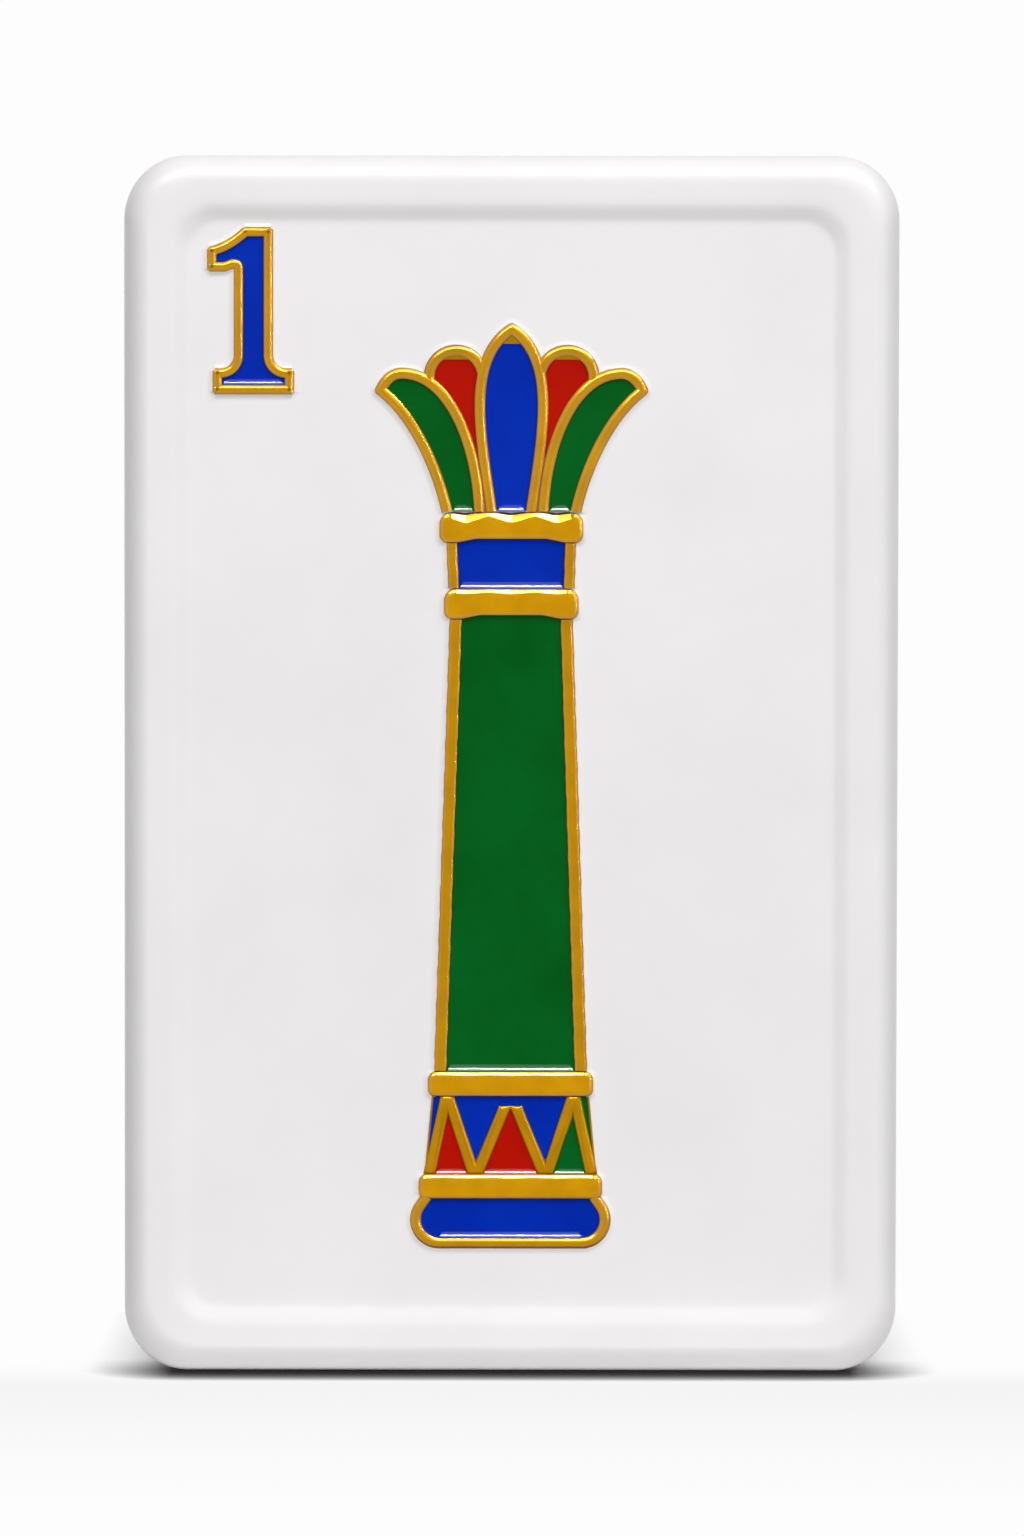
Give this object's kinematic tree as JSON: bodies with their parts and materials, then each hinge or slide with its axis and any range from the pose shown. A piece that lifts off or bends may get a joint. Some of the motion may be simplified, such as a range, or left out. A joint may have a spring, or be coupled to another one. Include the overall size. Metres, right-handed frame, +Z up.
{
  "type": "mahjong tile",
  "caption": "White two-layer mahjong game tile with a raised rim round a recessed face, where an enamelled column with a petal capital and a numeral are inlaid in gold strip.",
  "frame": {"origin": "centre of the tile's outline, on the surface that it stands on", "axes": "+Z up along the tile's height, +Y from the face to the back, so the inlaid face looks along -Y, and +X to the right as the face is seen"},
  "size_m": [0.0254, 0.016, 0.04],
  "materials": {
    "white_resin": "polished melamine resin, white",
    "gilt": "satin gilt strip, hand finished",
    "blue_enamel": "glossy opaque enamel, cobalt blue",
    "green_enamel": "glossy opaque enamel, deep green",
    "red_enamel": "glossy opaque enamel, vermilion red"
  },
  "bodies": {
    "root": {"face_block": "white_resin", "back_block": "white_resin", "middle_petal_strip": "gilt", "inner_petal_strip_left": "gilt", "inner_petal_strip_right": "gilt", "outer_petal_strip_left": "gilt", "outer_petal_strip_right": "gilt", "upper_neck_band": "gilt", "neck_rail_left": "gilt", "neck_rail_right": "gilt", "lower_neck_band": "gilt", "shaft_rail_left": "gilt", "shaft_rail_right": "gilt", "upper_base_band": "gilt", "zigzag_frame": "gilt", "lower_base_band": "gilt", "plinth_rim": "gilt", "numeral_outline": "gilt", "middle_petal_enamel": "blue_enamel", "inner_petal_enamel_left": "red_enamel", "inner_petal_enamel_right": "red_enamel", "outer_petal_enamel_left": "green_enamel", "outer_petal_enamel_right": "green_enamel", "neck_enamel": "blue_enamel", "shaft_enamel": "green_enamel", "triangle_enamel_left": "red_enamel", "triangle_enamel_middle": "red_enamel", "triangle_enamel_right": "green_enamel", "valley_enamel": "blue_enamel", "corner_enamel_left": "blue_enamel", "corner_enamel_right": "green_enamel", "plinth_enamel": "blue_enamel", "numeral_enamel": "blue_enamel"}
  },
  "joints": []
}
